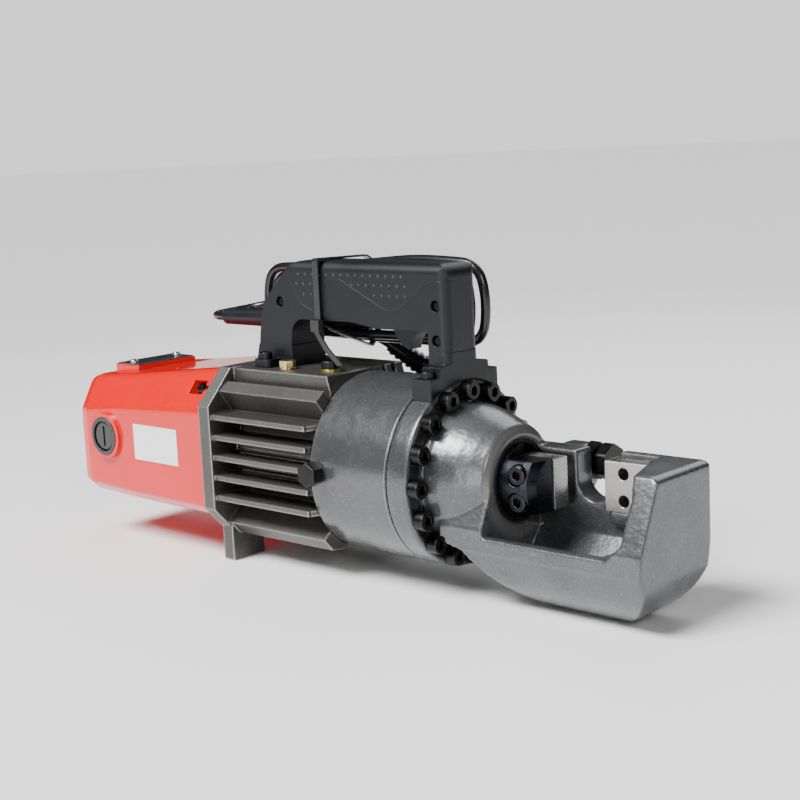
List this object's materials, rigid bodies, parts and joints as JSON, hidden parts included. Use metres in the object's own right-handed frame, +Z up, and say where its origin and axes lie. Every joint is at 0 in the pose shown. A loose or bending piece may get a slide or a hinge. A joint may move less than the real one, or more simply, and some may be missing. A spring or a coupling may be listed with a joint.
{
  "type": "rebar cutter",
  "caption": "Portable electro-hydraulic rebar cutter: red motor housing, finned pump casing, round cylinder, open cast head with two blades, D-handle with trigger and coiled cord.",
  "frame": {"origin": "middle of the small flat under the cutting head, on the surface the tool stands on", "axes": "+X along the tool towards the cutting head, +Z up"},
  "size_m": [0.523, 0.1752, 0.223],
  "materials": {
    "cast_head": "painted hammered silver-grey",
    "cylinder_steel": "satin grey paint",
    "casing_alloy": "cast, fins milled bright",
    "red_enamel": "glossy red enamel",
    "black_plastic": "finely textured",
    "soft_rubber": "satin soft-touch",
    "black_oxide": "black oxide",
    "blade_steel": "ground tool steel",
    "blued_steel": "dark blued",
    "bright_steel": "polished",
    "plain_steel": "machined",
    "brass": "bright",
    "cord_black": "glossy",
    "brush_plastic": "glossy black",
    "plate_metal": "blank, satin",
    "label_white": "blank white film",
    "seal_rubber": "matt",
    "copper": "lacquered copper windings",
    "lamination": "stacked sheet",
    "carbon": "carbon",
    "yellow_washer": "yellow passivated",
    "tie_nylon": "black nylon"
  },
  "bodies": {
    "frame": {"head": "cast_head", "head_bolts": "black_oxide", "fixed_blade": "blade_steel", "fixed_blade_screws": "black_oxide", "stop_nut": "black_oxide", "cylinder": "cylinder_steel", "rod_wiper": "seal_rubber", "return_spring": "plain_steel", "valve_boss": "black_oxide", "pump_housing": "casing_alloy", "oil_plug": "brass", "vent_screw": "black_oxide", "vent_washer": "yellow_washer", "bladder": "seal_rubber", "pump_block": "plain_steel", "plunger": "plain_steel", "cam_bearing": "bright_steel", "motor_housing": "red_enamel", "nameplate": "plate_metal", "nameplate_screws": "bright_steel", "info_label": "label_white", "motor_bolts": "black_oxide", "brush_caps": "brush_plastic", "brushes": "carbon", "stator": "lamination", "field_coils": "copper", "motor_bearings": "bright_steel", "bearing_shield": "casing_alloy", "handle_left": "black_plastic", "handle_right": "black_plastic", "soft_grip": "soft_rubber", "handle_screws": "black_oxide", "rear_base": "black_plastic", "base_screws": "black_oxide", "saddle": "black_plastic", "saddle_screws": "black_oxide", "trigger_pin": "plain_steel", "switch_body": "brush_plastic", "cord_boot": "soft_rubber", "cord_hank": "cord_black", "cord_lead": "cord_black", "cord_tail": "cord_black", "plug": "cord_black", "plug_pins": "bright_steel", "cable_tie": "tie_nylon"},
    "ram_unit": {"ram": "blued_steel", "piston": "plain_steel", "piston_seal": "seal_rubber", "moving_blade": "blade_steel", "moving_blade_screws": "black_oxide"},
    "trigger": {"trigger": "black_plastic"},
    "rotor": {"motor_shaft": "plain_steel", "rotor_core": "lamination", "commutator": "copper", "fan": "black_plastic"},
    "cam": {"cam_shaft": "plain_steel", "cam_roller": "plain_steel", "cam_gear": "plain_steel"},
    "valve": {"release_valve": "black_oxide"},
    "stop": {"stop_bolt": "black_oxide"}
  },
  "joints": [
    {"name": "ram_slide", "type": "slide", "parent": "frame", "child": "ram_unit", "axis": [1, 0, 0], "range_m": [0, 0.032], "stiffness_N_per_m": 1500, "springref_m": -0.02, "deforming": ["return_spring"]},
    {"name": "trigger_pull", "type": "hinge", "parent": "frame", "child": "trigger", "pos_m": [-0.1517, 0, 0.1845], "axis": [0, 1, 0], "range_deg": [0, 12], "stiffness_Nm_per_rad": 0.01, "springref_deg": -20.05},
    {"name": "rotor_spin", "type": "hinge", "parent": "frame", "child": "rotor", "pos_m": [-0.388, 0, 0.084], "axis": [1, 0, 0], "continuous": true},
    {"name": "cam_spin", "type": "hinge", "parent": "frame", "child": "cam", "pos_m": [-0.293, 0, 0.05775], "axis": [1, 0, 0], "continuous": true},
    {"name": "valve_turn", "type": "hinge", "parent": "frame", "child": "valve", "pos_m": [-0.1995, -0.075, 0.081], "axis": [0, -1, 0], "range_deg": [0, 180]},
    {"name": "stop_adjust", "type": "slide", "parent": "frame", "child": "stop", "axis": [1, 0, 0], "range_m": [-0.0025, 0.01]}
  ],
  "couplings": [
    {"joint": "cam_spin", "follows": "rotor_spin", "ratio": -0.4}
  ]
}
